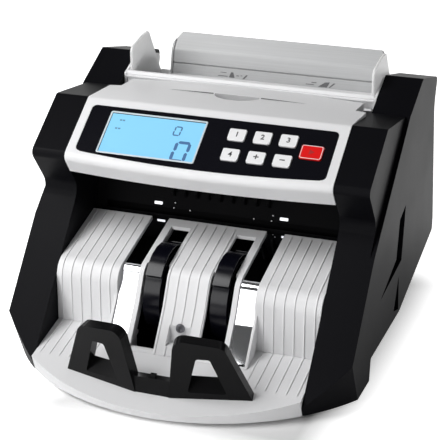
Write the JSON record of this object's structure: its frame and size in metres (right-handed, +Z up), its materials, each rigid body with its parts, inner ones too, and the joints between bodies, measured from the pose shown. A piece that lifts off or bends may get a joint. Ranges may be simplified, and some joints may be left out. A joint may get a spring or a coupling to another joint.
{
  "type": "banknote counter",
  "caption": "Desktop banknote counter with a top hopper, sloped display panel with keys, ribbed chutes with impeller wheels and an open stacker pocket behind a low black stop.",
  "frame": {"origin": "on the table under the middle of the overall box", "axes": "+Z up, the front with the stacker pocket faces -Y, +X to the right of a person in front of it"},
  "size_m": [0.25, 0.2818, 0.1956],
  "materials": {
    "black_plastic": "satin moulded",
    "white_plastic": "satin moulded",
    "grey_plastic": "satin moulded",
    "overlay": "glossy film",
    "lcd": "lit display",
    "board": "solder mask",
    "chrome": "polished strip",
    "steel": "plain steel",
    "clear": "milky clear",
    "brass": "sintered",
    "motor_paint": "painted can",
    "pulley": "moulded nylon",
    "rubber": "moulded rubber",
    "impeller": "flexible moulding",
    "key_white": "satin key",
    "key_red": "satin key"
  },
  "bodies": {
    "housing": {"base_tray": "white_plastic", "left_side_cover": "black_plastic", "right_side_cover": "black_plastic", "top_cover": "white_plastic", "keypad_overlay": "overlay", "lcd_display": "lcd", "main_board": "board", "left_chute": "white_plastic", "centre_chute": "white_plastic", "right_chute": "white_plastic", "left_guide_strip": "chrome", "right_guide_strip": "chrome", "chute_screw": "steel", "stacker_stop": "black_plastic", "throat_plate": "black_plastic", "feed_guide": "black_plastic", "inner_screen": "black_plastic", "sensor_lenses": "clear", "hopper_tray": "white_plastic", "hopper_rail": "white_plastic", "hopper_back_plate": "grey_plastic", "rear_cover": "white_plastic", "power_inlet": "black_plastic", "rocker_frame": "black_plastic", "left_frame_plate": "steel", "right_frame_plate": "steel", "tie_rods": "steel", "shaft_bearings": "brass", "drive_motor": "motor_paint", "drive_belts": "rubber", "power_board": "board", "rubber_feet": "rubber", "cover_screws": "steel"},
    "feed_roller_shaft": {"feed_shaft": "steel", "feed_rollers": "rubber", "feed_pulleys": "pulley"},
    "pickup_roller_shaft": {"pickup_shaft": "steel", "pickup_wheels": "rubber", "pickup_pulley": "pulley"},
    "impeller_wheel_shaft": {"impeller_shaft": "steel", "left_impeller": "impeller", "right_impeller": "impeller", "impeller_pulley": "pulley"},
    "motor_rotor": {"motor_pulley": "pulley"},
    "left_guide": {"left_note_guide": "clear"},
    "right_guide": {"right_note_guide": "clear"},
    "rocker": {"rocker_switch": "black_plastic"},
    "adjuster": {"gap_knob": "black_plastic"},
    "key_1_button": {"key_1": "key_white"},
    "key_2_button": {"key_2": "key_white"},
    "key_3_button": {"key_3": "key_white"},
    "key_4_button": {"key_4": "key_white"},
    "key_5_button": {"key_5": "key_white"},
    "key_6_button": {"key_6": "key_white"},
    "start_key_button": {"start_key": "key_red"}
  },
  "joints": [
    {"name": "feed_turn", "type": "hinge", "parent": "housing", "child": "feed_roller_shaft", "pos_m": [0, 0.045, 0.112], "axis": [1, 0, 0], "continuous": true},
    {"name": "pickup_turn", "type": "hinge", "parent": "housing", "child": "pickup_roller_shaft", "pos_m": [0, 0.08, 0.13515], "axis": [1, 0, 0], "continuous": true},
    {"name": "impeller_turn", "type": "hinge", "parent": "housing", "child": "impeller_wheel_shaft", "pos_m": [0, -0.034, 0.048], "axis": [1, 0, 0], "continuous": true},
    {"name": "motor_turn", "type": "hinge", "parent": "housing", "child": "motor_rotor", "pos_m": [0, 0.085, 0.045], "axis": [1, 0, 0], "continuous": true},
    {"name": "left_guide_slide", "type": "slide", "parent": "housing", "child": "left_guide", "axis": [1, 0, 0], "range_m": [0, 0.025]},
    {"name": "right_guide_slide", "type": "slide", "parent": "housing", "child": "right_guide", "axis": [-1, 0, 0], "range_m": [0, 0.025]},
    {"name": "key_1_press", "type": "slide", "parent": "housing", "child": "key_1_button", "axis": [0, 0.5736, -0.8192], "range_m": [0, 0.0008], "stiffness_N_per_m": 900},
    {"name": "key_2_press", "type": "slide", "parent": "housing", "child": "key_2_button", "axis": [0, 0.5736, -0.8192], "range_m": [0, 0.0008], "stiffness_N_per_m": 900},
    {"name": "key_3_press", "type": "slide", "parent": "housing", "child": "key_3_button", "axis": [0, 0.5736, -0.8192], "range_m": [0, 0.0008], "stiffness_N_per_m": 900},
    {"name": "key_4_press", "type": "slide", "parent": "housing", "child": "key_4_button", "axis": [0, 0.5736, -0.8192], "range_m": [0, 0.0008], "stiffness_N_per_m": 900},
    {"name": "key_5_press", "type": "slide", "parent": "housing", "child": "key_5_button", "axis": [0, 0.5736, -0.8192], "range_m": [0, 0.0008], "stiffness_N_per_m": 900},
    {"name": "key_6_press", "type": "slide", "parent": "housing", "child": "key_6_button", "axis": [0, 0.5736, -0.8192], "range_m": [0, 0.0008], "stiffness_N_per_m": 900},
    {"name": "start_key_press", "type": "slide", "parent": "housing", "child": "start_key_button", "axis": [0, 0.5736, -0.8192], "range_m": [0, 0.0008], "stiffness_N_per_m": 900},
    {"name": "rocker_tilt", "type": "hinge", "parent": "housing", "child": "rocker", "pos_m": [-0.024, 0.13289, 0.048], "axis": [1, 0, 0], "range_deg": [-8, 8]},
    {"name": "gap_knob_turn", "type": "hinge", "parent": "housing", "child": "adjuster", "pos_m": [0, 0.12909, 0.136], "axis": [0, 0.9927, 0.121], "range_deg": [-180, 180]}
  ],
  "couplings": [
    {"joint": "pickup_turn", "follows": "motor_turn", "ratio": 0.5},
    {"joint": "feed_turn", "follows": "motor_turn", "ratio": 0.5},
    {"joint": "impeller_turn", "follows": "motor_turn", "ratio": 0.25}
  ]
}
